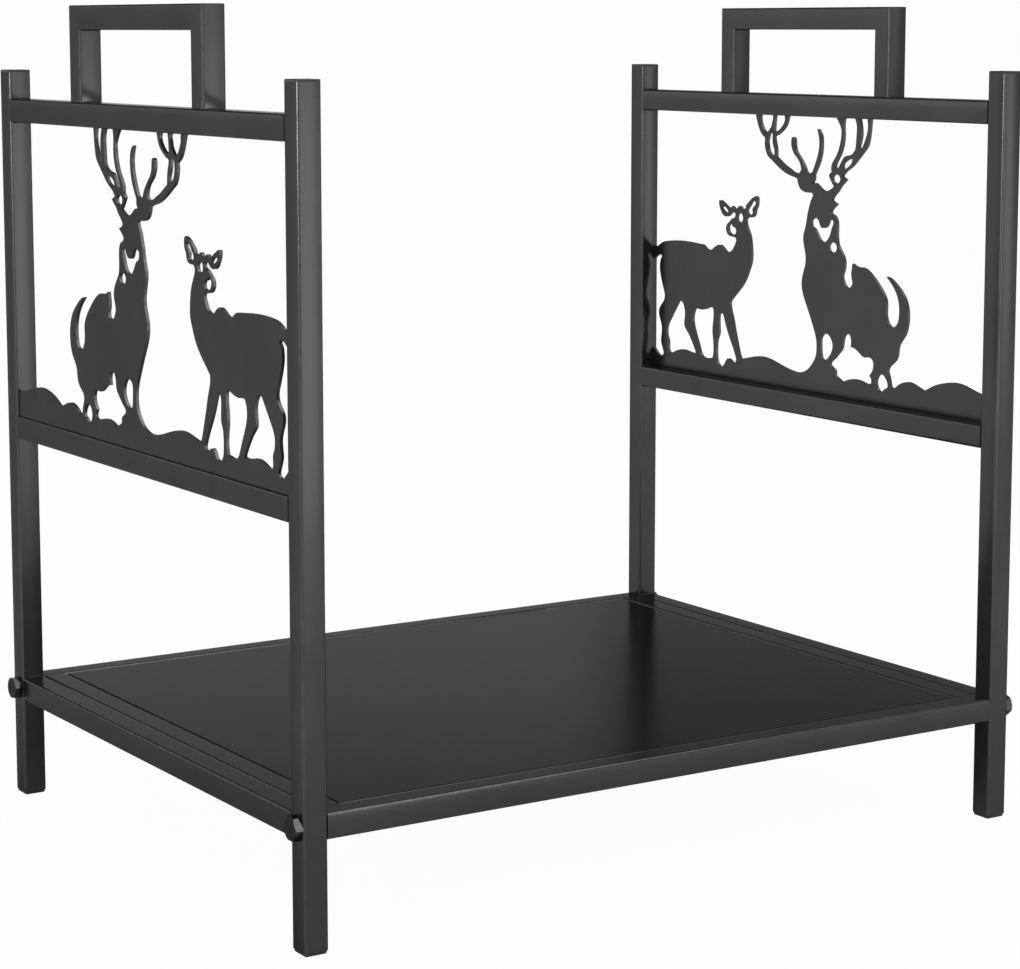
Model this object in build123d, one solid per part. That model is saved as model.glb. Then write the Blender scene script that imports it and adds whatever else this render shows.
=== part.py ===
"""A firewood rack of black square tube, in millimetres.

Two identical side frames stand left and right, the left one being the right one turned half round. Each is
two posts and three rails, with a carrying handle on its top rail and a laser-cut stag and doe between its
upper rails. A shelf frame with a folded sheet tray hangs between them on four bolts.

X runs from side frame to side frame, Y from the front to the back, and Z up from the floor. The origin is
on the floor under the middle of the rack.
"""

import os
from math import cos, isclose, radians, tan

from build123d import *

# The rack over the outside of its posts
RACK_LENGTH = 515.0
RACK_DEPTH = 404.0

# One square tube is used throughout
TUBE = 15.0
TUBE_WALL = 1.0
TUBE_CORNER = 1.5

# Undersides of the rails, from the floor
SHELF_HEIGHT = 64.6
MIDDLE_RAIL_HEIGHT = 240.3
TOP_RAIL_HEIGHT = 446.5

# How far the posts stand up over the top rails
POST_RISE = 18.5

# Carrying handle: over the outside of its legs, and over the top rail
HANDLE_WIDTH = 182.4
HANDLE_RISE = 59.0

# Laser-cut panel: how far its outer face lies behind the tubes' outer face
PANEL_SHEET = 2.0
PANEL_SETBACK = 1.5

# Folded tray on the shelf frame
TRAY_SHEET = 1.5
TRAY_FOLD_RADIUS = 2.2
TRAY_FLANGE = 12.0
TRAY_DROP = 0.3
TRAY_CORNER_SLIT = 1.0

# M8 bolts through the posts into threaded inserts in the ends of the shelf rails
BOLT_DIAMETER = 8.0
BOLT_LENGTH = 30.0
BOLT_TIP_CHAMFER = 0.8
HEAD_ACROSS_FLATS = 13.0
HEAD_HEIGHT = 5.0
HEAD_CHAMFER_ANGLE = 30.0
BOLT_HOLE_CLEARANCE = 0.5
INSERT_LENGTH = 14.0
INSERT_GAP = 0.1
THREAD_GAP = 0.1

# How far each bolt head is turned from having two flats upright
HEAD_TURN = {
    ("left", "front"): 29.0,
    ("left", "back"): 37.0,
    ("right", "front"): 48.0,
    ("right", "back"): 11.0,
}

# Plastic plugs in the open ends of the posts
FOOT_FLANGE = 2.0
FOOT_INSET = 0.5
FOOT_CHAMFER = 0.6
CAP_FLANGE = 1.5
CAP_CHAMFER = 0.5
PLUG_STEM = 10.0
PLUG_WALL = 1.2
PLUG_GAP = 0.1
PLUG_FINS = 3
PLUG_FIN_HEIGHT = 0.8
PLUG_FIN_DEPTH = 0.6

TUBE_BORE = TUBE - 2 * TUBE_WALL
HALF_TUBE = TUBE / 2
FRAME_X = RACK_LENGTH / 2 - HALF_TUBE
POST_Y = RACK_DEPTH / 2 - HALF_TUBE
RAIL_REACH = POST_Y - HALF_TUBE
POST_HEIGHT = TOP_RAIL_HEIGHT + TUBE + POST_RISE
SHELF_Z = SHELF_HEIGHT + HALF_TUBE
SMALLEST_ROUND = 0.2
BORE_CORNER = max(TUBE_CORNER - TUBE_WALL, SMALLEST_ROUND)

SIDES = {"left": -1, "right": 1}
ENDS = {"front": -1, "back": 1}


def square_tube(start, end):
    """A square tube round the straight line from start to end, its walls square to the axes."""
    run = Vector(end) - Vector(start)
    along_x = abs(run.X) > abs(run.Y) + abs(run.Z)
    plane = Plane(origin=start, x_dir=(0, 1, 0) if along_x else (1, 0, 0), z_dir=run)
    section = RectangleRounded(TUBE, TUBE, TUBE_CORNER) - RectangleRounded(
        TUBE_BORE, TUBE_BORE, BORE_CORNER
    )
    return extrude(plane * section, run.length)


def post(side, end):
    """An upright with a clear hole for its bolt, open at both ends for the plugs."""
    x, y = side * FRAME_X, end * POST_Y
    tube = square_tube((x, y, FOOT_FLANGE), (x, y, POST_HEIGHT - CAP_FLANGE))
    hole = Cylinder(BOLT_DIAMETER / 2 + BOLT_HOLE_CLEARANCE, 2 * TUBE, rotation=(0, 90, 0))
    return tube - Pos(x, y, SHELF_Z) * hole


def side_rail(side, height):
    """A rail between the two posts of a side frame, its underside at the given height."""
    x, z = side * FRAME_X, height + HALF_TUBE
    return square_tube((x, -RAIL_REACH, z), (x, RAIL_REACH, z))


def mitre_cut(side, end):
    """What lies outside the slanting plane between a handle's leg and its bar, on the leg's side."""
    corner = (side * FRAME_X, end * HANDLE_WIDTH / 2, TOP_RAIL_HEIGHT + TUBE + HANDLE_RISE)
    reach = HANDLE_WIDTH
    plane = Plane(origin=corner, x_dir=(1, 0, 0), z_dir=(0, end, -1))
    return extrude(plane * Rectangle(reach, reach), reach)


def handle_leg(side, end):
    """One upright of the handle, mitred at its top."""
    x, y = side * FRAME_X, end * (HANDLE_WIDTH / 2 - HALF_TUBE)
    foot = TOP_RAIL_HEIGHT + TUBE
    return square_tube((x, y, foot), (x, y, foot + HANDLE_RISE)) & mitre_cut(side, end)


def handle_bar(side):
    """The bar that the hand holds, mitred at both ends."""
    x, z = side * FRAME_X, TOP_RAIL_HEIGHT + TUBE + HANDLE_RISE - HALF_TUBE
    bar = square_tube((x, -HANDLE_WIDTH / 2, z), (x, HANDLE_WIDTH / 2, z))
    return bar - mitre_cut(side, 1) - mitre_cut(side, -1)


# The panel is drawn with U measured from its middle, positive towards the doe, and V up from the rail that
# it stands on. The drawing is 374 wide and 191.2 high, and is stretched to the window of its side frame.


def outline(*stretches):
    """The closed shape that these stretches go round. Each starts where the one before it ends: one point
    more is a straight line, several are a smooth curve."""
    corner = stretches[-1][-1]
    edges = []
    for stretch in stretches:
        points = [corner, *stretch]
        edges.append(Line(*points) if len(points) == 2 else Spline(*points))
        corner = stretch[-1]
    return make_face(edges)


def smooth_outline(*points):
    """The closed shape inside one smooth curve through the points."""
    return make_face(Spline(*points, periodic=True))


def deer_and_ground():
    """The strip of hilly ground with the doe's and the stag's bodies standing on it."""
    tail_low, tail_high = (187, 80.3), (187, 89.8)
    doe_hind_leg = [
        (175.3, 14.5), (177.2, 19.5), (176.4, 25), (176.6, 31), (179, 36.5), (180.1, 41), (179.3, 43.8),
        (176, 47.5), (173.3, 51), (172.8, 53.7), (174.5, 58.7), (177.2, 65.5), (179.4, 75), (178.6, 79.5),
        (176.6, 82.7),
    ]
    doe_back = [
        (179.5, 91.5), (175, 93.5), (168, 94.8), (155, 95.7), (140, 95.4), (130, 94.8), (125, 94),
        (121.5, 91.8), (118.5, 91.2), (115.5, 91.7), (110.5, 94.5), (105.5, 95.7), (101.5, 94),
        (97.5, 91.4), (94, 91.4), (90.5, 93.2), (87.5, 97.2), (86.1, 100.5), (87, 102),
    ]
    doe_muzzle = [
        (90, 102.5), (93.5, 102.8), (96.5, 104.3), (98.3, 107.3), (97.9, 110), (95.5, 112.5), (91.5, 115.6),
    ]
    doe_cheek = [(89.3, 116.1), (87.5, 117.3), (87.3, 119), (88.7, 120), (92.3, 119.8)]
    doe_near_ear_below = [
        (94.3, 118), (96.5, 116.9), (99.8, 116.8), (102.3, 118), (105, 121.3), (106.6, 125), (106.8, 127.8),
    ]
    doe_near_ear_above = [(104.8, 128), (101.5, 126.5), (98, 124.7), (95.3, 123)]
    doe_brow = [(92.8, 123.4), (91, 124.6), (89.5, 124), (88, 122.7)]
    doe_crown = [(85.3, 123.3), (83.8, 124.6), (82, 125.1), (80.6, 124.2), (79.3, 122.9)]
    doe_far_ear_above = [(75, 125.8), (73.2, 127.5), (69.5, 130.4), (66, 132.4), (63, 133.2)]
    doe_far_ear_below = [
        (61.9, 132), (61.6, 129), (62.2, 126), (63.8, 123.5), (64.4, 121), (65.4, 119.2), (67.5, 117.9),
        (70, 117.5), (73, 117.3), (75, 114.7),
    ]
    doe_chest = [
        (73.8, 111), (71.5, 107.2), (69.8, 103.5), (68.6, 98), (67.9, 92), (68.3, 86.5), (70.3, 81.5),
        (74.5, 73.5), (79.5, 67.5), (85, 62.5), (92.2, 56.2),
    ]
    doe_foreleg = [(92.6, 54.2), (90, 45), (87, 35.5), (84.5, 28), (81.7, 20), (79.5, 15.5)]
    hill_and_stag_chest = [
        (70, 17.2), (62, 18.8), (54, 19.3), (45, 18.2), (30, 14.5), (21, 12.8), (14, 12.3), (8, 13.3),
        (3, 15.5), (-2, 20), (-5, 24), (-6.4, 28), (-6.6, 33), (-6.2, 37), (-4, 43), (-1, 49), (3, 56.5),
        (7, 63.5), (9.8, 69.5), (10.8, 75), (10.2, 79.5), (8, 85.5), (6.6, 91.5), (7.5, 97.5), (9.4, 104),
        (9.6, 108), (8, 113), (6.4, 118.5), (5.5, 123), (3.7, 128.5), (1, 134.5), (-0.3, 137), (1.2, 138.5),
    ]
    stag_muzzle = [
        (5, 138.4), (10, 139), (13.3, 140.5), (15.7, 143.2), (16.9, 146.3), (17.2, 148.6), (15, 151.5),
    ]
    stag_crown = [(12.8, 154), (8.3, 154), (6, 152), (2.5, 151.9), (0.3, 153.3), (-2.6, 153.3)]
    stag_brow = [(-1.2, 150.8), (-1.7, 149.3), (-0.8, 146.8), (0.6, 144.6)]
    stag_poll = [
        (-5, 144.6), (-7.5, 142.8), (-10, 141.4), (-13, 140.5), (-16, 140.7), (-19, 141.7), (-22.8, 144),
    ]
    far_antler_foot = [(-21, 146), (-19, 148.5), (-17.2, 151.2)]
    far_antler_burr = [(-32.6, 152.5), (-31.9, 151.3)]
    far_ear = [(-33, 146.7), (-30, 144.3), (-27.5, 141.2), (-24.5, 138.8), (-22.3, 136.5), (-21.1, 134.9)]
    stag_nape = [
        (-22, 124.7), (-24.7, 123.7), (-26.2, 121.8), (-27.1, 118.5), (-27.1, 112), (-27.4, 107.5),
        (-28.3, 104.5), (-31, 101), (-34, 97), (-35.6, 92.5), (-35, 88), (-33.8, 85), (-33.3, 83),
        (-34.3, 80), (-36.3, 77.2), (-39.5, 75.7), (-42.3, 76.6), (-44, 79.5), (-43.2, 82.5), (-42.7, 86),
        (-43.4, 90), (-43.9, 92.7),
    ]
    stag_back = [
        (-45.8, 91.8), (-48, 91), (-55, 90.7), (-60, 89), (-66, 85), (-72, 79.8), (-77.5, 73.8),
        (-79.4, 70), (-79.6, 62), (-80.5, 57.5), (-82.7, 54.5), (-85.5, 52.9), (-88.5, 53.5), (-91.3, 56),
        (-92.8, 61), (-92.8, 67), (-91, 73.5), (-87, 79.5), (-82.5, 83.8), (-79.2, 86.5),
    ]
    stag_tail_and_hind_leg = [
        (-82, 86), (-90, 81.5), (-97, 75.5), (-100.7, 69), (-102, 61), (-101.3, 55), (-99, 49), (-95, 44.3),
        (-92.7, 40.5), (-91.8, 35), (-90, 31.3), (-86, 28), (-83, 25.3), (-82.4, 22.5), (-84, 18.5),
        (-85, 14.7), (-85.8, 12.5),
    ]
    hills_behind_stag = [
        (-89, 12.3), (-93, 14.7), (-98, 17), (-104, 17.9), (-111, 16.3), (-119.5, 13.8),
    ]
    last_hill = [
        (-124, 16.1), (-130, 18.7), (-138, 20.9), (-148, 22.3), (-156, 21.8), (-168, 18.8), (-178, 17),
        (-187, 16.5),
    ]
    return outline(
        [(187, 13.7)],
        [(184, 11.7), (180, 8.5), (177, 7.9), (174.5, 9.2), (173.7, 10.9)],
        doe_hind_leg,
        [(178, 83.7), (180.5, 83.8), (183.5, 82.3), tail_low],
        [tail_high],
        [(182, 89.9)],
        doe_back, doe_muzzle, doe_cheek, doe_near_ear_below, doe_near_ear_above, doe_brow, doe_crown,
        [(76.8, 123.5), (75.2, 124)],
        doe_far_ear_above, doe_far_ear_below, doe_chest, doe_foreleg,
        hill_and_stag_chest, stag_muzzle,
        *[[point] for point in stag_crown],
        stag_brow, stag_poll, far_antler_foot,
        [(-18.5, 152.8), (-20.2, 153.8)],
        [(-34.2, 153.8)],
        far_antler_burr,
        [(-33.5, 150.3), (-36.2, 149.4)],
        far_ear,
        [(-23, 133.4), (-26.8, 132.4)],
        [(-24.5, 130.7), (-21.5, 128.3), (-20.2, 126.5)],
        stag_nape, stag_back, stag_tail_and_hind_leg, hills_behind_stag, last_hill,
        [(-187, 0)],
        [(187, 0)],
    )


def near_antler():
    """The antler over the stag's muzzle, with its brow tine. What reaches the top rail is drawn past it."""
    top = 193.2
    antler = outline(
        [(13.5, 147), (17.6, 147.7), (24, 149.2), (27.4, 150), (33.8, 152.4), (38.6, 154.9), (42.8, 157.4),
         (47, 159.9), (50.3, 161.9), (52.6, 165), (53.9, 168.5), (54.2, 172), (54, 174.3), (54.5, 175.3)],
        [(57.8, 177.2), (60.2, 180.2), (62.7, 185), (64.2, 189), (66, top)],
        [(26.8, top)],
        [(28.3, 188.8), (29.7, 185.3), (31.7, 182.5), (34.8, 180.1), (38.8, 177.6), (40.7, 176.8),
         (42.7, 176.1), (42.9, 174), (41.9, 171), (41.1, 168.5), (40.7, 165), (40.5, 161.7)],
        [(35, 158.4), (30, 155.7), (25, 153.6), (19, 151.5), (15.3, 151.4), (13, 149)],
    )
    loop = outline(
        [(48.9, 177.9)],
        [(50.2, 174.8), (50.7, 172), (50.3, 169), (49.2, 166), (47.6, 164.2), (46.4, 162.9)],
        [(43.2, 162.9)],
        [(43, 165), (43.5, 167.3), (44.8, 170), (45.4, 173), (45.5, 175), (45.3, 177.9)],
    )
    back_gap = outline(
        [(60.4, top), (59.2, 190), (59.3, 187.5), (58.5, 185), (57, 182.5), (55.1, 180.1), (53.5, 178.9)],
        [(50.2, 179.5), (48.7, 181), (47, 182.9), (46.3, 185), (45.3, 188), (47.8, top)],
    )
    front_gap = outline(
        [(41.4, top), (42.4, 190), (43.1, 185.5), (43.3, 182.5), (43.4, 179.8)],
        [(40, 179.8), (38.6, 180.4), (35, 183.1), (33, 185.2), (31.7, 188.2), (32, 190), (33.5, top)],
    )
    brow_tine = outline(
        [(12.5, 150), (13, 154.5), (14.2, 158), (17.7, 162), (21.2, 164.9), (23.1, 167.6), (24.3, 171),
         (24.3, 174), (23.6, 175.8), (22.3, 176.3), (21, 175.9), (20.4, 174.8), (20, 171), (19.2, 168),
         (17, 164.9), (14.4, 162.5), (11.8, 159.9), (9.6, 157.2), (7.8, 154), (6.5, 150)],
    )
    return [antler - loop - back_gap - front_gap, brow_tine]


def far_antler():
    """The antler behind the stag's ear, with its brow tine. What reaches the top rail is drawn past it."""
    top = 193.2
    antler = outline(
        [(-20.8, 152.6), (-20.1, 154), (-19.7, 157), (-21, 160.2), (-24.9, 165), (-27.7, 170), (-29.3, 175),
         (-30.1, 180), (-29.8, 183.5), (-28.9, 185.3), (-27, 188), (-25.3, 190), (-23, top)],
        [(-34, top)],
        [(-32.7, 189), (-32.3, 186), (-32.7, 179), (-32.2, 174), (-30.8, 169.5), (-28.4, 165), (-25, 160.2),
         (-23.7, 157)],
        [(-27.1, 156.8)],
        [(-29.5, 160), (-31.4, 162.6), (-33.3, 164.4), (-37, 165.6), (-40, 166.1), (-42.8, 167.7),
         (-44.8, 170), (-45.6, 174), (-46.2, 182), (-46.2, 185.5), (-45.2, 189), (-42.5, top)],
        [(-61.4, top)],
        [(-60.5, 187.5), (-60.1, 183), (-59.2, 178), (-57.5, 172.8), (-54.8, 169.8), (-49.6, 165),
         (-44, 160), (-40.6, 157.6), (-37.3, 155.8), (-34.4, 154), (-33, 152.6)],
    )
    eye_shaped_gap = outline(
        [(-32.5, 159.6), (-34, 161.1), (-37, 162.6), (-40, 163.4), (-42, 163.4)],
        [(-41.8, 161.8), (-40.3, 159.7), (-37.6, 157.8), (-34.7, 156.6), (-32.4, 156.5)],
        [(-32.2, 158.2)],
    )
    top_gap = outline(
        [(-48.6, top), (-49.9, 189), (-51, 184), (-51.2, 180), (-50.2, 175.5), (-48.7, 171.5)],
        [(-52.2, 171.4)],
        [(-54.2, 175), (-56.6, 180), (-57.8, 185), (-57.4, 189), (-56.5, top)],
    )
    brow_tine = outline(
        [(1, 151), (-0.3, 154.8), (-3, 160), (-5.1, 165), (-6.3, 170), (-6.5, 174), (-5.8, 177.7),
         (-4.2, 182)],
        [(-4.6, 182.6)],
        [(-6.6, 181.4), (-8.1, 179.5), (-9.2, 176), (-9.5, 172), (-9.2, 168), (-8, 163), (-5.7, 157.7),
         (-3.1, 153.7), (-1, 150)],
    )
    return [antler - eye_shaped_gap - top_gap, brow_tine]


def doe_holes():
    """The gaps between the doe's legs, and the holes that mark its eye, muzzle and ears."""
    between_hind_legs = outline(
        [(151.2, 51)],
        [(148.5, 47.5), (147.3, 43), (147.8, 37.5), (147.9, 33.5), (144, 29), (138.5, 22.5), (134.5, 16.5),
         (133.4, 14.4)],
        [(137, 13.9), (147, 15.2), (156, 14.3), (161, 12.4), (165.3, 11.4), (167.3, 12.5), (167.9, 16),
         (168, 20), (169.6, 23), (170.2, 26), (169.8, 30.5), (166, 36.8), (160, 44.7), (155.4, 50.6)],
    )
    under_belly = outline(
        [(137, 43), (137.6, 39), (136.5, 33.5), (133, 26), (129, 17.7), (126.3, 13.3), (124, 12),
         (120, 11.7), (113, 12.7)],
        [(112.3, 15), (112.3, 25), (113.4, 33), (112.4, 41), (112.2, 46), (112.9, 48.9), (114.5, 49.7),
         (118, 49), (123.5, 47.3), (128, 46.8), (132, 47.2), (135, 46.9)],
    )
    between_forelegs = outline(
        [(100.8, 46)],
        [(99, 41.7), (95.5, 34.2), (90, 24.7), (86.5, 18.7), (84.6, 14.3)],
        [(85.2, 12.5)],
        [(89, 11.8), (91.5, 13.2), (94, 14.1), (96.5, 12.9), (99.3, 9), (101.5, 7.8), (104, 7.5), (106, 9),
         (107.8, 11.4), (108.3, 13.5), (108.4, 23), (107.6, 27), (106.1, 30), (105.7, 36), (105.3, 45.8)],
    )
    eye = Pos(81.8, 116.6) * Circle(3.5)
    muzzle = smooth_outline(
        (95.6, 109.5), (94, 111.4), (91.4, 111.2), (90, 109.7), (88, 109.4), (86.3, 107.5), (86.7, 105.3),
        (88.6, 104.3), (91, 104.1), (93.5, 104.8), (95.4, 107),
    )
    near_ear = smooth_outline(
        (103.3, 123.3), (100, 123.6), (97.3, 122.2), (95.8, 120), (98.2, 119.4), (100.5, 120.3),
    )
    far_ear = smooth_outline(
        (65, 129.4), (63.7, 128.3), (64.3, 126.7), (66.5, 125), (67.5, 123.2), (67.1, 120.9), (68.7, 119.6),
        (71.7, 119.6), (73.6, 122), (72.6, 124), (70.5, 126.2), (68.3, 128.9),
    )
    return [between_hind_legs, under_belly, between_forelegs, eye, muzzle, near_ear, far_ear]


def stag_holes():
    """The gaps between the stag's legs, and the holes that mark its collar, shoulder and antler."""
    between_forelegs = smooth_outline(
        (-10.8, 36.7), (-11.8, 39.8), (-14, 41.7), (-17.5, 42.3), (-20.5, 41), (-23.2, 37.5), (-24, 34.7),
        (-23, 30.5), (-20, 26.5), (-17, 24.4), (-14.3, 23.9), (-12.2, 25.5), (-11.2, 29.5),
    )
    under_belly = outline(
        [(-40.5, 44.3), (-37.7, 43.6), (-35.6, 41), (-34.8, 37), (-34, 33.8), (-30.5, 30), (-25, 25.3),
         (-21.5, 21.7), (-23, 20), (-26.3, 18.3), (-27.2, 15.2)],
        [(-28.3, 13.7), (-31.5, 12.4), (-33.5, 11.3), (-36, 11.3), (-41, 12.9), (-48, 14), (-55, 13.4),
         (-61, 12.2), (-65.3, 13)],
        [(-65.5, 15), (-63.4, 18)],
        [(-66, 21), (-67.4, 25), (-66, 29.2), (-63.5, 30.3), (-58, 29.9), (-52, 32.7), (-43.1, 35.5)],
        [(-43.7, 38.5), (-43.2, 42), (-42.2, 43.8)],
    )
    between_hind_hooves = smooth_outline(
        (-75.5, 20.3), (-72.3, 18.5), (-70.6, 14.5), (-71.7, 10.7), (-74.7, 8.4), (-77.3, 8.9),
        (-79.2, 10.6), (-82, 11.9), (-82.4, 14), (-80.8, 17.2), (-78.5, 19.5),
    )
    collar = outline(
        [(0.6, 119.8), (-2, 121.1), (-4.8, 121.3), (-6.8, 119.8), (-8.5, 116.7), (-10, 115.2), (-12, 114.9),
         (-15, 115.7), (-17.3, 118.2), (-18.5, 121.2)],
        [(-21.9, 121)],
        [(-22.8, 119.5), (-21.3, 115.5), (-19.6, 111), (-17.3, 107.7), (-14.8, 105.8), (-11, 105.4),
         (-8.5, 107), (-5.5, 110.8), (-3, 113.7), (0.1, 115.3), (0.9, 117.5)],
    )
    shoulder = Pos(-22.6, 102.2) * Ellipse(4.4, 3.6)
    antler_burr = Pos(-25.4, 149.3) * Ellipse(4.2, 3.1)
    return [between_forelegs, under_belly, between_hind_hooves, collar, shoulder, antler_burr]


def deer_panel():
    """The plate of the right frame: the drawing, stretched to its window, cut out of sheet."""
    window_bottom = MIDDLE_RAIL_HEIGHT + TUBE
    figure = deer_and_ground() + near_antler() + far_antler() - doe_holes() - stag_holes()
    drawing = Pos(0, 95.6) * Rectangle(374, 191.2)
    figure &= drawing
    drawn = drawing.bounding_box().size
    wider, taller = 2 * RAIL_REACH / drawn.X, (TOP_RAIL_HEIGHT - window_bottom) / drawn.Y
    if not (isclose(wider, 1, rel_tol=1e-6) and isclose(taller, 1, rel_tol=1e-6)):
        figure = scale(figure, by=(wider, taller, 1))
    inner_face = RACK_LENGTH / 2 - PANEL_SETBACK - PANEL_SHEET
    plane = Plane(origin=(inner_face, 0, window_bottom), x_dir=(0, 1, 0), z_dir=(1, 0, 0))
    return extrude(plane * figure, PANEL_SHEET)


def tray():
    """The shelf's sheet, folded down on all four sides against its rails, with slits at its corners."""
    length = 2 * (FRAME_X - HALF_TUBE - TUBE)
    depth = 2 * RAIL_REACH
    top = SHELF_HEIGHT + TUBE - TRAY_DROP
    hanging = (Align.CENTER, Align.CENTER, Align.MAX)

    def block(inset, height, radius):
        shape = Box(length - 2 * inset, depth - 2 * inset, height, align=hanging)
        folds = shape.edges() - shape.edges().group_by(Axis.Z)[0]
        return Pos(0, 0, top - inset) * fillet(folds, radius)

    inner_radius = max(TRAY_FOLD_RADIUS - TRAY_SHEET, SMALLEST_ROUND)
    shell = block(0, TRAY_FLANGE, TRAY_FOLD_RADIUS) - block(TRAY_SHEET, TRAY_FLANGE, inner_radius)
    slit = Box(4 * TRAY_FOLD_RADIUS, TRAY_CORNER_SLIT, TRAY_FLANGE, align=hanging)
    for x in (-1, 1):
        for y in (-1, 1):
            turn = Pos(x * length / 2, y * depth / 2, top - TRAY_FOLD_RADIUS) * Rot(0, 0, 45 * x * y)
            shell -= turn * slit
    return shell


def shelf_cross_rail(end):
    """The front or back rail of the shelf frame, from post to post."""
    reach = FRAME_X - HALF_TUBE
    return square_tube((-reach, end * POST_Y, SHELF_Z), (reach, end * POST_Y, SHELF_Z))


def shelf_side_rail(side):
    """The side rail of the shelf frame, which lies against the side frame's lowest rail."""
    x = side * (FRAME_X - TUBE)
    return square_tube((x, -RAIL_REACH, SHELF_Z), (x, RAIL_REACH, SHELF_Z))


def bolt():
    """A hexagon bolt along Z, its shank below zero and its head above, chamfered as turned heads are."""
    across_corners = HEAD_ACROSS_FLATS / cos(radians(30))
    head = extrude(RegularPolygon(HEAD_ACROSS_FLATS / 2, 6, major_radius=False, rotation=30), HEAD_HEIGHT)
    bevel = (across_corners - HEAD_ACROSS_FLATS) / 2
    turned = Cylinder(across_corners / 2, HEAD_HEIGHT, align=(Align.CENTER, Align.CENTER, Align.MIN))
    rim = turned.edges().sort_by(Axis.Z)[-1]
    turned = chamfer(rim, bevel * tan(radians(HEAD_CHAMFER_ANGLE)), length2=bevel)
    shank = Cylinder(BOLT_DIAMETER / 2, BOLT_LENGTH, align=(Align.CENTER, Align.CENTER, Align.MAX))
    shank = chamfer(shank.edges().sort_by(Axis.Z)[0], BOLT_TIP_CHAMFER)
    return (head & turned) + shank


def threaded_insert():
    """A square plug along Z from zero down, with the bolt's thread through it."""
    width = TUBE_BORE - 2 * INSERT_GAP
    block = extrude(RectangleRounded(width, width, BORE_CORNER), -INSERT_LENGTH)
    return block - Cylinder(BOLT_DIAMETER / 2 + THREAD_GAP, 2 * INSERT_LENGTH + TUBE)


def at_bolt(side, end, x, piece):
    """A piece made along Z, laid along one corner's bolt with its zero at this distance from the middle."""
    plane = Plane(origin=(side * x, end * POST_Y, SHELF_Z), x_dir=(0, 1, 0), z_dir=(side, 0, 0))
    return plane * piece


def plug(inset, flange, edge):
    """A tube plug standing on its flange at zero, with a hollow finned stem that grips the tube."""
    width = TUBE - 2 * inset
    stem_width = TUBE_BORE - 2 * PLUG_GAP - 2 * PLUG_FIN_DEPTH
    head = extrude(RectangleRounded(width, width, TUBE_CORNER), flange)
    head = chamfer(head.faces().sort_by(Axis.Z)[0].edges(), edge)
    stem = extrude(Pos(0, 0, flange) * Rectangle(stem_width, stem_width), PLUG_STEM)
    bore = stem_width - 2 * PLUG_WALL
    stem -= extrude(Pos(0, 0, flange) * Rectangle(bore, bore), PLUG_STEM)
    fin_width = TUBE_BORE - 2 * PLUG_GAP
    fin = extrude(RectangleRounded(fin_width, fin_width, BORE_CORNER), PLUG_FIN_HEIGHT)
    fin -= extrude(Rectangle(bore, bore), PLUG_FIN_HEIGHT)
    step = PLUG_STEM / (PLUG_FINS + 1)
    fins = [Pos(0, 0, flange + step * (number + 1)) * fin for number in range(PLUG_FINS)]
    return head + stem + fins


def foot_plug(side, end):
    """The plug that a post stands on."""
    return Pos(side * FRAME_X, end * POST_Y, 0) * plug(FOOT_INSET, FOOT_FLANGE, FOOT_CHAMFER)


def top_plug(side, end):
    """The plug that closes the top of a post, flush with its sides."""
    place = Pos(side * FRAME_X, end * POST_Y, POST_HEIGHT) * Rot(180, 0, 0)
    return place * plug(0, CAP_FLANGE, CAP_CHAMFER)


def all_pieces():
    """Every piece of the rack by its name."""
    pieces = {"shelf_tray": tray()}
    right_panel = deer_panel()
    pieces["right_deer_panel"] = right_panel
    pieces["left_deer_panel"] = Rot(0, 0, 180) * right_panel
    for end_name, end in ENDS.items():
        pieces[f"shelf_{end_name}_rail"] = shelf_cross_rail(end)
    for side_name, side in SIDES.items():
        pieces[f"shelf_{side_name}_rail"] = shelf_side_rail(side)
        pieces[f"{side_name}_bottom_rail"] = side_rail(side, SHELF_HEIGHT)
        pieces[f"{side_name}_middle_rail"] = side_rail(side, MIDDLE_RAIL_HEIGHT)
        pieces[f"{side_name}_top_rail"] = side_rail(side, TOP_RAIL_HEIGHT)
        pieces[f"{side_name}_handle_bar"] = handle_bar(side)
        for end_name, end in ENDS.items():
            corner = f"{side_name}_{end_name}"
            pieces[f"{corner}_post"] = post(side, end)
            pieces[f"{side_name}_handle_{end_name}_leg"] = handle_leg(side, end)
            pieces[f"{corner}_foot_plug"] = foot_plug(side, end)
            pieces[f"{corner}_top_plug"] = top_plug(side, end)
            turned_bolt = Rot(0, 0, HEAD_TURN[side_name, end_name]) * bolt()
            pieces[f"{corner}_bolt"] = at_bolt(side, end, RACK_LENGTH / 2, turned_bolt)
            pieces[f"{corner}_threaded_insert"] = at_bolt(side, end, FRAME_X - HALF_TUBE, threaded_insert())
    return pieces


if __name__ == "__main__":
    os.makedirs("parts", exist_ok=True)
    for name, piece in all_pieces().items():
        export_step(piece, f"parts/{name}.step")
        print(name)
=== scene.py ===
# %% [markdown]
# # A firewood rack in black powder coat
#
# The rack stands beside a stove or an open fire and holds one evening's logs. Two welded side frames of square
# tube carry a laser-cut stag and doe, and a tray on a bolted-in shelf frame joins them. The solids come from the
# CAD model. This file gives them their finish, adds the small weld beads, and sets up the floor, the light and the
# camera. Each step starts with a short text, and the code after it prints what it made.

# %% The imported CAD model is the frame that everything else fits
from math import pi, radians

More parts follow.
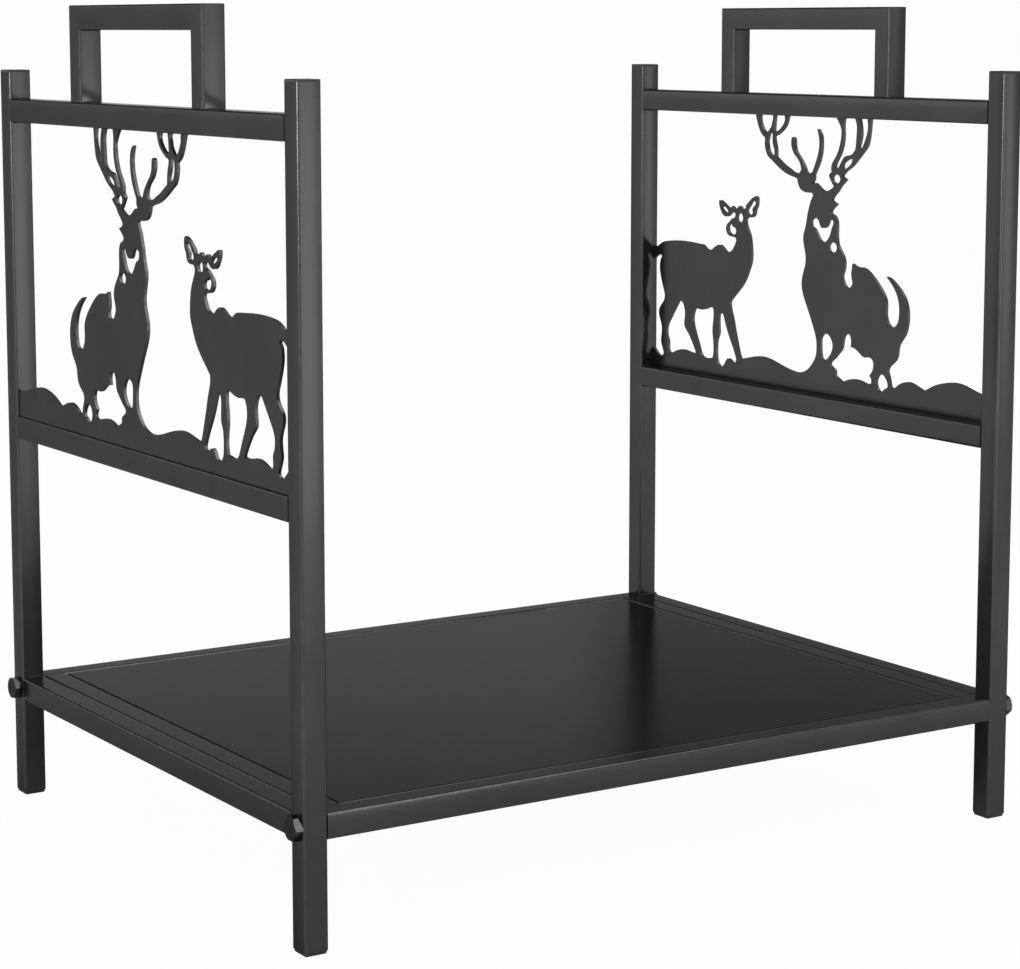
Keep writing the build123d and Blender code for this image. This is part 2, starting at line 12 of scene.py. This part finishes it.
import bpy
import numpy as np
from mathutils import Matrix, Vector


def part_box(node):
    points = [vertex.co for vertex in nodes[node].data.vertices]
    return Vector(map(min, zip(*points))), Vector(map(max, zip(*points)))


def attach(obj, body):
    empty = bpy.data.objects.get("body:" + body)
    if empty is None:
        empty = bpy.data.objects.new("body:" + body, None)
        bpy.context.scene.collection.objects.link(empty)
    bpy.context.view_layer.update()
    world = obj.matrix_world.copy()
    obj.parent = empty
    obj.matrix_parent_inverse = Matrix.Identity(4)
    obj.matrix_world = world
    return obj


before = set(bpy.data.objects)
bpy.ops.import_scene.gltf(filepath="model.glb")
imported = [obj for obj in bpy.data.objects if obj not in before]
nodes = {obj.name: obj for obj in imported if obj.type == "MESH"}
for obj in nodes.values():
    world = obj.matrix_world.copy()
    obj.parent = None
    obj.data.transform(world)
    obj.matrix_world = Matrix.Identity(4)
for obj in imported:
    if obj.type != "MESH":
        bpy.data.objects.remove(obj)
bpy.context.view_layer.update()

# %% [markdown]
# ## The camera
#
# The photograph looks from the rack's front left corner, level with the bars of its handles, as if through a long
# lens with a large vertical shift, which keeps every post upright. Views from other sides would keep such a shift,
# so this camera is tilted down and shifted only a little, and its posts lean slightly. A camera is a place, a
# direction and a lens. The direction could be set by a constraint that looks at the rack, but here two angles that
# were fitted to the photograph are written down: the azimuth turns the camera to the right of straight ahead, and
# the tilt points it down. The shift moves the rack up in the frame, as the lens of a view camera does.

# %% The camera at the photograph's viewing angle
PICTURE_WIDTH = 1020                 # pixels, and the picture is 969 high
CAMERA_PLACE = (-0.95869, -1.50246, 0.50711)
CAMERA_AZIMUTH = radians(32.70)
CAMERA_TILT = radians(7.448)
FOCAL_PIXELS = 2779.2                # the focal length in widths of one pixel
SENSOR_WIDTH = 36.0                  # mm
LENS_SHIFT = -0.092                  # in widths of the picture; below zero the rack moves up
FAR_CLIP = 50.0                      # metres

lens = bpy.data.cameras.new("long_lens")
lens.sensor_width = SENSOR_WIDTH
lens.sensor_fit = "HORIZONTAL"
lens.lens = FOCAL_PIXELS / PICTURE_WIDTH * SENSOR_WIDTH
lens.shift_y = LENS_SHIFT
lens.clip_end = FAR_CLIP
camera = bpy.data.objects.new("camera", lens)
camera.location = CAMERA_PLACE
camera.rotation_euler = (pi / 2 - CAMERA_TILT, 0.0, -CAMERA_AZIMUTH)
bpy.context.scene.collection.objects.link(camera)
bpy.context.scene.camera = camera
bpy.context.scene.view_settings.view_transform = "Standard"
print("lens", round(lens.lens, 2), "mm")

# %% [markdown]
# ## Shader maths as Python
#
# A material is a graph of small nodes, and wiring each one by hand hides the idea behind the plumbing. The class
# below wraps one output of a node, so that `1 - mask` or `grain * 0.2 + haze` adds the Math nodes by itself. Every
# other kind of node comes from one method, `node`, that takes the node's type, its settings and its inputs.

# %% A wire carries a number or a colour from one node to the next
class Wire:
    """The output of a shader node. The signs + - * / and ** add Math nodes, and a number may stand before + or -."""

    def __init__(self, finish, socket):
        self.finish, self.socket = finish, socket

    def maths(self, operation, first, second):
        return self.finish.node("ShaderNodeMath", {"operation": operation}, {0: first, 1: second})

    def __add__(self, other):
        return self.maths("ADD", self, other)

    def __radd__(self, other):
        return self.maths("ADD", other, self)

    def __sub__(self, other):
        return self.maths("SUBTRACT", self, other)

    def __rsub__(self, other):
        return self.maths("SUBTRACT", other, self)

    def __mul__(self, other):
        return self.maths("MULTIPLY", self, other)

    def __truediv__(self, other):
        return self.maths("DIVIDE", self, other)

    def __pow__(self, other):
        return self.maths("POWER", self, other)


# %% A finish is one material, built node by node
class Finish:
    """A material or world whose nodes are added one at a time, starting from an empty tree."""

    def __init__(self, name, owner=None):
        self.owner = owner or bpy.data.materials.new(name)
        self.owner.use_nodes = True
        self.tree = self.owner.node_tree
        self.tree.nodes.clear()

    def node(self, kind, settings=None, values=None, output=0):
        """Adds a node of one type: its settings first, then a number, a colour or a Wire for each input."""
        made = self.tree.nodes.new(kind)
        for setting, value in (settings or {}).items():
            setattr(made, setting, value)
        for place, value in (values or {}).items():
            if isinstance(value, Wire):
                self.tree.links.new(value.socket, made.inputs[place])
            else:
                made.inputs[place].default_value = value
        return Wire(self, made.outputs[output]) if made.outputs else None

    def place(self):
        """Where on the object a point is, in metres: its Object coordinates."""
        return self.node("ShaderNodeTexCoord", output="Object")

    def noise(self, wavelength, detail=2.0, stretch=(1.0, 1.0, 1.0)):
        """Cloudy noise from 0 to 1 whose lumps are about one wavelength, in metres, apart."""
        scaled = self.node("ShaderNodeMapping", values={"Vector": self.place(), "Scale": stretch})
        return self.node("ShaderNodeTexNoise", values={"Vector": scaled, "Scale": 1.0 / wavelength, "Detail": detail})

    def off_axis(self, centre, axes, half_width):
        """
        How far a point is from the centre along these axes, squared, in half widths. Round a tube's centre line that
        is 1 in the middle of a face and 2 at a corner.
        """
        away = self.node("ShaderNodeVectorMath", {"operation": "SUBTRACT"}, {0: self.place(), 1: centre})
        share = [1.0 / half_width if place in axes else 0.0 for place in range(3)]
        away = self.node("ShaderNodeVectorMath", {"operation": "MULTIPLY"}, {0: away, 1: share})
        return self.node("ShaderNodeVectorMath", {"operation": "DOT_PRODUCT"}, {0: away, 1: away}, output="Value")

    def between(self, signal, low, high):
        """A soft step: 0 where the signal is under low, 1 where it is over high, and an S curve in between."""
        return self.node("ShaderNodeMapRange", {"interpolation_type": "SMOOTHSTEP"},
                         {"Value": signal, "From Min": low, "From Max": high})

    def colours(self, factor, first, second):
        """The first colour where the factor is 0, the second where it is 1."""
        return self.node("ShaderNodeMix", {"data_type": "RGBA"}, {"Factor": factor, 6: first, 7: second}, output=2)

    def relief(self, height, depth, below=None):
        """The surface's normal over a height from 0 to 1 that stands for depth metres."""
        values = {"Height": height, "Distance": depth}
        if below is not None:
            values["Normal"] = below
        return self.node("ShaderNodeBump", values=values)

    def surface(self, **values):
        """Ends the material in one Principled shader. Constants sit on its own sockets."""
        named = {key.replace("_", " ").title().replace("Ior", "IOR"): value for key, value in values.items()}
        shader = self.node("ShaderNodeBsdfPrincipled", values=named)
        self.node("ShaderNodeOutputMaterial", values={"Surface": shader})
        return self.owner


print("wires and finishes are ready")

# %% [markdown]
# ## The studio
#
# The photograph shows the rack on plain white, so the stage is a white floor that curves up into a low white wall
# all round, like the cove of a studio. It could be one bent plane behind the rack, but then a picture from another
# side would look past its edge, so it is a surface of revolution. Its shader shows white to the camera and to
# reflections, and keeps a part of its real light, so that the rack's own shadow stays on the floor. What the rack
# mirrors of the floor close by, of the wall's rim and of the studio's front right corner is mostly their real light
# alone, which is dimmer.

# %% The cove: a profile turned about the vertical
COVE_FLAT = 5.0                      # metres of level floor from the middle
COVE_RADIUS = 0.9
COVE_TOP = 1.1
FIRST_RING = 0.4                     # metres, inside which the floor is a fan of triangles
FLOOR_POINTS = 12
BEND_STEPS = 27
WALL_STEPS = 4
AROUND = 96                          # steps of the turn


def cove_surface():
    """
    The profile runs out along the floor, round a quarter circle and up a wall: at path length s the radius is s up
    to COVE_FLAT, then COVE_FLAT + R sin(a) at the height R (1 - cos(a)) with a = (s - COVE_FLAT) / R, and then the
    wall. Each profile point is turned about the vertical through equal steps of angle.
    """
    floor = np.stack([np.linspace(FIRST_RING, COVE_FLAT, FLOOR_POINTS), np.zeros(FLOOR_POINTS)], 1)
    angle = np.linspace(0.0, pi / 2, BEND_STEPS + 1)[1:]
    bend = np.stack([COVE_FLAT + COVE_RADIUS * np.sin(angle), COVE_RADIUS * (1.0 - np.cos(angle))], 1)
    wall = np.stack([np.full(WALL_STEPS, COVE_FLAT + COVE_RADIUS),
                     np.linspace(COVE_RADIUS, COVE_TOP, WALL_STEPS + 1)[1:]], 1)
    profile = np.concatenate([floor, bend, wall])
    turn = np.linspace(0.0, 2.0 * pi, AROUND, endpoint=False)
    points = np.stack([np.outer(profile[:, 0], np.cos(turn)), np.outer(profile[:, 0], np.sin(turn)),
                       np.repeat(profile[:, 1:2], AROUND, 1)], 2).reshape(-1, 3)
    row = np.arange(len(profile) - 1)[:, None] * AROUND
    step = np.arange(AROUND)[None, :]
    ahead = (step + 1) % AROUND
    quads = np.stack([row + step, row + AROUND + step, row + AROUND + ahead, row + ahead], 2).reshape(-1, 4)
    fan = [[len(points), int(this), int(following)] for this, following in zip(step[0], ahead[0])]
    return np.concatenate([points, [[0.0, 0.0, 0.0]]]), quads.tolist() + fan


def mesh_object(name, points, faces):
    """A smooth mesh object at the origin from arrays of points and of faces."""
    mesh = bpy.data.meshes.new(name)
    mesh.from_pydata(np.asarray(points, float).tolist(), [], [list(map(int, face)) for face in faces])
    mesh.polygons.foreach_set("use_smooth", np.full(len(mesh.polygons), True))
    mesh.update()
    made = bpy.data.objects.new(name, mesh)
    bpy.context.scene.collection.objects.link(made)
    return made


cove = mesh_object("cove", *cove_surface())
print("cove of", len(cove.data.polygons), "faces,", round(COVE_FLAT + COVE_RADIUS, 2), "metres out")

# %% What the camera and the reflections see of the cove, and what the light does on it
SEEN_AS_WHITE = 0.975                # the share of plain white; the rest is the floor's own lit surface
PAPER_GREY = (0.67, 0.67, 0.67, 1.0)
CORNER_DIMMED = 0.6                  # the share of its plain white that the front right corner loses

paper = Finish("studio_paper")
seen, mirrored, passed = [paper.node("ShaderNodeLightPath", output=kind)
                          for kind in ("Is Camera Ray", "Is Glossy Ray", "Is Transmission Ray")]
away = paper.between(paper.off_axis((0.0, -0.15, 0.0), (0, 1), 1.0), 0.02, 0.60)
across, along, height = (paper.node("ShaderNodeSeparateXYZ", values={0: paper.place()}, output=axis)
                         for axis in range(3))
low = 1.0 - paper.between(height, 0.85, 1.05)
unlit_corner = 1.0 - paper.between(across, 3.7, 4.7) * (1.0 - paper.between(along, -2.8, -1.5)) * CORNER_DIMMED
share = seen * SEEN_AS_WHITE + (mirrored + passed) * away * low * unlit_corner
lit = paper.node("ShaderNodeBsdfDiffuse", values={"Color": PAPER_GREY})
white = paper.node("ShaderNodeEmission", values={"Color": (1.0, 1.0, 1.0, 1.0), "Strength": 1.0})
paper.node("ShaderNodeOutputMaterial", values={"Surface": paper.node("ShaderNodeMixShader",
                                                                     values={0: share, 1: lit, 2: white})})
cove.data.materials.append(paper.owner)
print("the cove shows", SEEN_AS_WHITE, "plain white")

# %% [markdown]
# ## The light
#
# A glossy black object is lit by what it mirrors. In the photograph the faces to the front are lightest in their
# upper half, where they mirror something bright and low, and the rounded edges carry a thin bright line. So two low
# soft boxes stand in front, one at the front left draws the lines, one higher in front is for the bolt heads and
# the top edges, and a wide one above lights the rest evenly with a dim dome. Two more stand behind the rack: a flat
# one that lightens the tray and the rail to its left and little else, and a large one at the back left, which
# lightens the left faces and the bars of the handles. Image-based light could do the same, but named lights are
# easier to understand.

# %% The dome and the soft boxes
DOME_LEVEL = 0.30

bpy.context.scene.world = bpy.context.scene.world or bpy.data.worlds.new("dome")
dome = Finish("dome", bpy.context.scene.world)
dim, bright = (dome.node("ShaderNodeBackground", values={"Color": (1.0, 1.0, 1.0, 1.0), "Strength": level})
               for level in (DOME_LEVEL, 1.0))
to_camera = dome.node("ShaderNodeLightPath", output="Is Camera Ray")
dome.node("ShaderNodeOutputWorld", values={"Surface": dome.node("ShaderNodeMixShader",
                                                                values={0: to_camera, 1: dim, 2: bright})})


def soft_box(name, middle, width, height, radiance, aim=(0.0, 0.0, 0.25)):
    """
    A rectangular light at a place in metres, turned to look at a point. Its power is radiance times area times pi,
    so its brightness in a mirror doesn't change when its size does. It lights and is mirrored, but isn't seen.
    """
    light = bpy.data.lights.new(name, "AREA")
    light.shape = "RECTANGLE"
    light.size, light.size_y = width, height
    light.energy = radiance * width * height * pi
    lamp = bpy.data.objects.new(name, light)
    across, along, up = np.subtract(middle, aim)
    lamp.location = middle
    lamp.rotation_euler = (np.arctan2(np.hypot(across, along), up), 0.0, np.arctan2(across, -along))
    lamp.visible_camera = False
    bpy.context.scene.collection.objects.link(lamp)
    return lamp


soft_box("low_box_left", (0.24, -1.28, 0.26), 0.60, 0.49, 1.68, aim=(0.24, 0.0, 0.26))
soft_box("low_box_right", (1.47, -1.74, 0.29), 0.46, 0.40, 1.75, aim=(0.25, -0.19, 0.29))
soft_box("edge_box", (-2.25, -1.25, 0.75), 0.90, 0.84, 16.0, aim=(0.0, 0.0, 0.45))
soft_box("key_box", (0.66, -1.56, 1.21), 0.50, 0.50, 5.0, aim=(-0.25, -0.19, 0.07))
soft_box("top_box", (0.70, -0.70, 2.35), 2.20, 1.80, 3.0)
soft_box("back_box", (1.72, 3.51, 1.035), 1.30, 0.26, 1.05, aim=(-0.1, 0.0, 0.08))
soft_box("back_left_box", (-2.30, 3.20, 1.38), 3.00, 1.34, 1.35, aim=(0.0, 0.0, 0.4))
print("seven soft boxes and a dome of", DOME_LEVEL)

# %% [markdown]
# ## Powder coat
#
# The frames are sprayed with dry anthracite powder and baked. Fine dark flakes lie flat in the film, so it mirrors
# about as much from every side, and it flows into a fine orange peel with lumps about a millimetre wide. An image
# of a coated surface could be wrapped on, but noise in the object's own coordinates fits every tube without seams
# and keeps its true size. The rolled tubes' faces are crowned by a fraction of a millimetre, which bends what they
# mirror, and the film is rubbed a little smoother on their edges.

# %% One recipe for every coat
TUBE_HALF = 0.0075                   # metres, half a tube's width
HAZE_WAVE, MOTTLE_WAVE, SWELL_WAVE, RUB_WAVE, LINE_WAVE = 0.045, 0.011, 0.017, 0.006, 0.0009     # metres
PEEL_WAVES = (0.0013, 0.0006)
PEEL_DEPTH = 0.000012
LINE_DEPTH = 0.00003
SHADE_SPREAD = 0.10                  # how far the two shades of a coat lie from its own, as a share
EDGE_FROM, EDGE_FULL = 1.62, 1.74    # where a tube's edge begins and where it is whole; its corner is at 2
RUBBED_GLOSS = -0.05                 # what rubbing takes off the roughness
RUBBED_SHADE = (0.095, 0.094, 0.090, 1.0)
CUT_SHADE = (0.115, 0.114, 0.110, 1.0)
CUT_ROUGHNESS, LINE_ROUGHNESS = 0.04, 0.08
DARK_MIRROR = {"specular_ior_level": 0.19, "specular_tint": (0.40, 0.40, 0.40, 1.0)}


def powder_coat(name, shade, gloss, peel_depth, swell=0.00003, tube=None, crowns=(), edge_gloss=RUBBED_GLOSS,
                drawn_foot=None, cut_edges=False, flake=0.85, haze_depth=0.030):
    """
    Dark metallic paint. Colour: two shades mixed by slow noise. Roughness: the gloss value plus haze and mottle.
    Relief: orange peel of two wavelengths on a slow swell. A tube, given by a point of its centre line and the two
    axes across it, adds rubbed edges and a crown along each axis of crowns, which falls with the square of the
    distance from the centre line. Cut edges have lines across the sheet.
    A drawn foot swells out with the square of the height that is left to its end. It is given as its place, its
    reach in metres up the leg, its slope, and by how much of its reach it ends lower on the right side.
    """
    coat = Finish(name)
    haze = coat.between(coat.noise(HAZE_WAVE, 3.0), 0.35, 0.70)
    mottle = coat.noise(MOTTLE_WAVE, 2.0)
    peel = coat.noise(PEEL_WAVES[0], 2.0) * 0.7 + coat.noise(PEEL_WAVES[1], 1.0) * 0.3
    roughness = gloss + haze * haze_depth + mottle * (0.8 * haze_depth)
    dark = tuple((1.0 - SHADE_SPREAD) * part for part in shade) + (1.0,)
    light = tuple((1.0 + SHADE_SPREAD) * part for part in shade) + (1.0,)
    colour = coat.colours(haze * 0.5 + mottle * 0.5, dark, light)
    normal = coat.relief(coat.noise(SWELL_WAVE, 1.0), swell)
    if tube:
        centre, sides = tube
        for axis, crown in crowns:
            normal = coat.relief(1.0 - coat.off_axis(centre, (axis,), TUBE_HALF), crown, below=normal)
        edge = coat.between(coat.off_axis(centre, sides, TUBE_HALF), EDGE_FROM, EDGE_FULL)
        rubbed = edge * coat.between(coat.noise(RUB_WAVE, 3.0), 0.42, 0.62)
        roughness = roughness + (edge if edge_gloss > 0.0 else rubbed) * edge_gloss
        colour = coat.colours(rubbed * 0.35, colour, RUBBED_SHADE)
    if drawn_foot:
        (left, _, foot), reach, slope, slant = drawn_foot
        across, up = (coat.node("ShaderNodeSeparateXYZ", values={0: coat.place()}, output=axis) for axis in (0, 2))
        front = coat.node("ShaderNodeSeparateXYZ", values={0: coat.node("ShaderNodeNewGeometry", output="Normal")},
                          output=1)
        rest = 1.0 - (up - foot) / reach - (across - left) * (slant / (2.0 * TUBE_HALF))
        rest = coat.node("ShaderNodeClamp", values={0: rest}) ** 2.0
        normal = coat.relief(rest * coat.between(0.0 - front, 0.5, 0.9), slope * reach, below=normal)
    normal = coat.relief(peel, peel_depth, below=normal)
    if cut_edges:
        face = coat.node("ShaderNodeNewGeometry", output="Normal")
        across = coat.node("ShaderNodeSeparateXYZ", values={0: face}, output=0)
        edge = 1.0 - coat.between(across * across, 0.2, 0.6)
        lines = coat.noise(LINE_WAVE, 1.0, stretch=(0.02, 1.0, 1.0))
        roughness = roughness + edge * CUT_ROUGHNESS + edge * lines * LINE_ROUGHNESS
        colour = coat.colours(edge * (0.15 + lines * 0.85), colour, CUT_SHADE)
        normal = coat.relief(lines * edge, LINE_DEPTH, below=normal)
    return coat.surface(base_color=colour, roughness=roughness, normal=normal, metallic=flake, **DARK_MIRROR)


ANTHRACITE = (0.0600, 0.0600, 0.0585)
# The beads' coat is half as dark as the tubes'. This is a painted shade that darkens the inside corners and keeps
# highlights off the beads.
DULL_PAINTED_SHADE = (0.030, 0.030, 0.029)
panel_coat = powder_coat("powder_coat_panel", ANTHRACITE, 0.22, PEEL_DEPTH, cut_edges=True)
tray_coat = powder_coat("powder_coat_tray", ANTHRACITE, 0.20, 0.000003, swell=0.000001, flake=0.92,
                        haze_depth=0.008)
shaded_bead_coat = powder_coat("powder_coat_bead_painted_shade", DULL_PAINTED_SHADE, 0.45, PEEL_DEPTH)
print("powder coats:", panel_coat.name, tray_coat.name, shaded_bead_coat.name)

# %% Each tube gets the coat with its own centre line
TALL_CROWN = 0.00050                 # metres that the faces of posts and legs stand proud at their middle
RAIL_CROWNS = {"rail": 0.00050, "bar": 0.00012}
LOW_CROWNS = {"front": 0.00050, "back": 0.00050, "left": 0.00015, "right": 0.00015}     # shelf and bottom rails
DRAWN_FEET = {"left": (0.013, 0.13, 0.6), "right": (0.075, 0.03, 0.2)}    # reach up the leg, slope, slant
LEG_EDGE_GLOSS = {"left": 0.35, "right": 0.20}                            # roughness of their edges, by fit


def tube_coat(name):
    """
    The coat of one tube: its centre line runs along the longest side of its box, through the box's middle. Posts and
    legs are crowned on all their faces, and rails and bars on their upright faces.
    """
    low, high = (np.array(corner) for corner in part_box(name))
    sides = tuple(axis for axis in range(3) if axis != int(np.argmax(high - low)))
    centre = ((low + high) / 2.0).tolist()
    words = name.split("_")
    if words[-1] in ("post", "leg"):
        crowns = [(0, TALL_CROWN), (1, TALL_CROWN)]
    elif words[0] == "shelf":
        crowns = [(2, LOW_CROWNS[words[1]])]
    else:
        crowns = [(2, LOW_CROWNS[words[0]] if words[1] == "bottom" else RAIL_CROWNS[words[-1]])]
    is_leg = words[-1] == "leg"
    foot = (low.tolist(),) + DRAWN_FEET[words[0]] if is_leg else None
    return powder_coat(f"coat_{name}", ANTHRACITE, 0.20, PEEL_DEPTH, tube=(centre, sides), crowns=crowns,
                       edge_gloss=LEG_EDGE_GLOSS[words[0]] if is_leg else RUBBED_GLOSS, drawn_foot=foot)


print("a post's crown is", TALL_CROWN * 1000, "mm and a handle bar's", RAIL_CROWNS["bar"] * 1000, "mm")

# %% [markdown]
# ## Bolts, plugs and inserts
#
# The bolts are black oxide steel: the heads are forged, so their flats carry a fine grain, and their rims are
# rubbed brighter by the spanner. The plugs are moulded plastic with a matte skin, and the threaded inserts in the
# rails' ends are zinc plated. None of them could share the powder coat, because each meets the light its own way.

# %% Black oxide, moulded plastic and zinc
def black_oxide():
    """Dark steel: forging grain in the roughness and the relief, and lighter scratches where a spanner slips."""
    steel = Finish("black_bolt")
    grain = steel.noise(0.0006, 3.0)
    rubbed = steel.between(steel.noise(0.0025, 3.0, stretch=(1.0, 0.3, 1.0)), 0.56, 0.72)
    colour = steel.colours(rubbed * 0.5, (0.044, 0.044, 0.043, 1.0), (0.095, 0.095, 0.092, 1.0))
    return steel.surface(base_color=colour, roughness=0.16 + grain * 0.08, metallic=0.90,
                         normal=steel.relief(grain, 0.00001), **DARK_MIRROR)


def moulded_plastic():
    """Black plastic with the fine spark-eroded texture of its mould: small bumps and an even, higher roughness."""
    plastic = Finish("plastic_plug")
    grain = plastic.noise(0.0004, 2.0)
    cloud = plastic.noise(0.006, 2.0)
    colour = plastic.colours(cloud, (0.011, 0.011, 0.011, 1.0), (0.018, 0.018, 0.018, 1.0))
    return plastic.surface(base_color=colour, roughness=0.40 + grain * 0.12,
                           normal=plastic.relief(grain, 0.00002), specular_ior_level=0.4)


def zinc_plate():
    """Bright zinc with a faint turning grain along the insert, which runs along X."""
    zinc = Finish("zinc_insert")
    turned = zinc.noise(0.0004, 2.0, stretch=(1.0, 0.1, 0.1))
    colour = zinc.colours(turned, (0.50, 0.51, 0.53, 1.0), (0.66, 0.67, 0.69, 1.0))
    return zinc.surface(base_color=colour, roughness=0.28 + turned * 0.12, metallic=1.0,
                        normal=zinc.relief(turned, 0.00001))


small_parts = {"black_bolt": black_oxide(), "plastic_plug": moulded_plastic(), "zinc_insert": zinc_plate()}
print("small parts:", ", ".join(small_parts))

# %% Every CAD node gets the finish of what it is
def finish_of(name):
    """The finish for a CAD node, from the word that its name ends in."""
    if name.endswith("_bolt"):
        return small_parts["black_bolt"]
    if name.endswith("_plug"):
        return small_parts["plastic_plug"]
    if name.endswith("_insert"):
        return small_parts["zinc_insert"]
    if name.endswith("_panel"):
        return panel_coat
    return tray_coat if name == "shelf_tray" else tube_coat(name)


for name, node in nodes.items():
    finish = finish_of(name)
    for place in node.material_slots:
        place.material = finish
print("finished", len(nodes), "nodes")

# %% [markdown]
# ## Weld beads
#
# The rails, posts and handles are welded where they meet, and the beads are dressed so small that the paint all but
# hides them. Each one still softens its inside corner, and its coat is painted darker than the tubes', a painted
# shade in that corner. A bevel on the tubes can't make them, because a bead adds metal, so each bead is its own short
# surface: a rounded corner profile carried along the line where two faces meet, with the ripples of the arc on it,
# and drawn to a point at both ends.

# %% One bead in the corner between two faces
RIPPLE = 0.0013                      # metres from one ripple of the arc to the next
RIPPLE_SHARE = 0.04                  # how much a ripple adds to the bead's size
ROOT_DEPTH = 0.10                    # how far the root lies in the metal, in sizes of the bead


def weld_bead(start, end, out_a, out_b, leg, steps=36, sides=8):
    """
    Along s from 0 to 1 the corner line runs from start to end. Round the section, the angle t goes from face to
    face, and the surface is the corner plus leg times size times (cos(t)^1.5 out_a + sin(t)^1.5 out_b), where size
    is the end taper (1 - (2s - 1)^8) times the ripple. The last point lies just inside the corner, so
    that the bead is closed and its root is hidden in the metal.
    """
    start, end, out_a, out_b = (np.asarray(item, float) for item in (start, end, out_a, out_b))
    along = np.linspace(0.0, 1.0, steps)[:, None]
    ripple = 1.0 + RIPPLE_SHARE * np.sin(2.0 * pi * along * np.linalg.norm(end - start) / RIPPLE)
    size = leg * ripple * (1.0 - (2.0 * along - 1.0) ** 8)
    turn = np.linspace(0.0, pi / 2, sides)[None, :]
    to_a = np.concatenate([size * np.cos(turn) ** 1.5, -ROOT_DEPTH * size], 1)[:, :, None]
    to_b = np.concatenate([size * np.sin(turn) ** 1.5, -ROOT_DEPTH * size], 1)[:, :, None]
    line = start + along * (end - start)
    points = (line[:, None, :] + to_a * out_a + to_b * out_b).reshape(-1, 3)
    ring = sides + 1
    first = np.arange(steps - 1)[:, None] * ring
    place = np.arange(ring)[None, :]
    after = (place + 1) % ring
    quads = np.stack([first + place, first + after, first + ring + after, first + ring + place], 2).reshape(-1, 4)
    if np.dot(np.cross(out_a, out_b), end - start) < 0.0:
        quads = quads[:, ::-1]
    return points, quads


def joined(pieces):
    """Several (points, faces) in one: each one's face numbers move on by the points before it."""
    starts = np.cumsum([0] + [len(points) for points, _ in pieces[:-1]])
    return (np.concatenate([points for points, _ in pieces]),
            np.concatenate([faces + start for (_, faces), start in zip(pieces, starts)]))


print("a bead has", len(weld_bead((0, 0, 0), (0.01, 0, 0), (0, 1, 0), (0, 0, 1), 0.001)[1]), "faces")

# %% The beads of one side frame: its rails on its posts, its handle on its top rail
TUBE_ROUND = 0.0015                  # the tubes' corner radius, where a bead runs out
RAIL_LEG = 0.0007                    # metres, the bead's leg on each face
BAR_LEG = 0.0006
X, Y, Z = np.eye(3)


def side_frame_beads(side):
    """Beads run along X, across the flat of the tubes, in every inside corner of one side frame."""
    beads = []
    low, high = (np.array(corner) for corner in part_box(f"{side}_top_rail"))
    across = np.array([low[0] + TUBE_ROUND, high[0] - TUBE_ROUND])

    def bead(y, z, towards_y, towards_z, leg=RAIL_LEG):
        beads.append(weld_bead((across[0], y, z), (across[1], y, z), towards_y * Y, towards_z * Z, leg))

    for level in ("bottom", "middle", "top"):
        low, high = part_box(f"{side}_{level}_rail")
        for y, inward in ((low[1], 1.0), (high[1], -1.0)):
            bead(y, high[2], inward, 1.0)
            bead(y, low[2], inward, -1.0)
    rail_top = high[2]
    for place in ("front", "back"):
        low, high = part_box(f"{side}_handle_{place}_leg")
        bead(low[1], rail_top, -1.0, 1.0)
        bead(high[1], rail_top, 1.0, 1.0)
    bar_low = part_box(f"{side}_handle_bar")[1][2] - (across[1] - across[0] + 2 * TUBE_ROUND)
    bead(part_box(f"{side}_handle_front_leg")[1][1], bar_low, 1.0, -1.0, BAR_LEG)
    bead(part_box(f"{side}_handle_back_leg")[0][1], bar_low, -1.0, -1.0, BAR_LEG)
    return joined(beads)


for side in ("left", "right"):
    beads = mesh_object(f"{side}_frame_welds", *side_frame_beads(side))
    beads.data.materials.append(shaded_bead_coat)
    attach(beads, "root")
    print(beads.name, len(beads.data.polygons), "faces")

# %% [markdown]
# ## The seam behind each panel
#
# Each cut panel sits in its window behind the tubes' outer face. How it is fixed can't be told from the photograph,
# which shows one even dark line in the corner between the right sheet's inner side and the rail that it stands on.
# A row of short stitches would show there as dashes, and a bare corner comes out lighter than the line, so the
# corner gets one fine bead from post to post, whose darker coat is painted shade along the line. It stays a guess,
# because the line may be a shadow alone.

# %% One bead along the sill
SEAM_STEPS = 1200                    # about four for each ripple


def panel_seam(side):
    """One bead along Y in the corner between the sheet's inner face and the top of the middle rail."""
    low, high = (np.array(corner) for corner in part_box(f"{side}_deer_panel"))
    inward = 1.0 if side == "left" else -1.0
    sheet = high[0] if side == "left" else low[0]
    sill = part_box(f"{side}_middle_rail")[1][2]
    return weld_bead((sheet, low[1], sill), (sheet, high[1], sill), inward * X, Z, RAIL_LEG, steps=SEAM_STEPS)


for side in ("left", "right"):
    seam = mesh_object(f"{side}_panel_seam", *panel_seam(side))
    # The seam's darker coat is painted shade along the sill corner.
    seam.data.materials.append(shaded_bead_coat)
    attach(seam, "root")
    print(seam.name, len(seam.data.polygons), "faces")
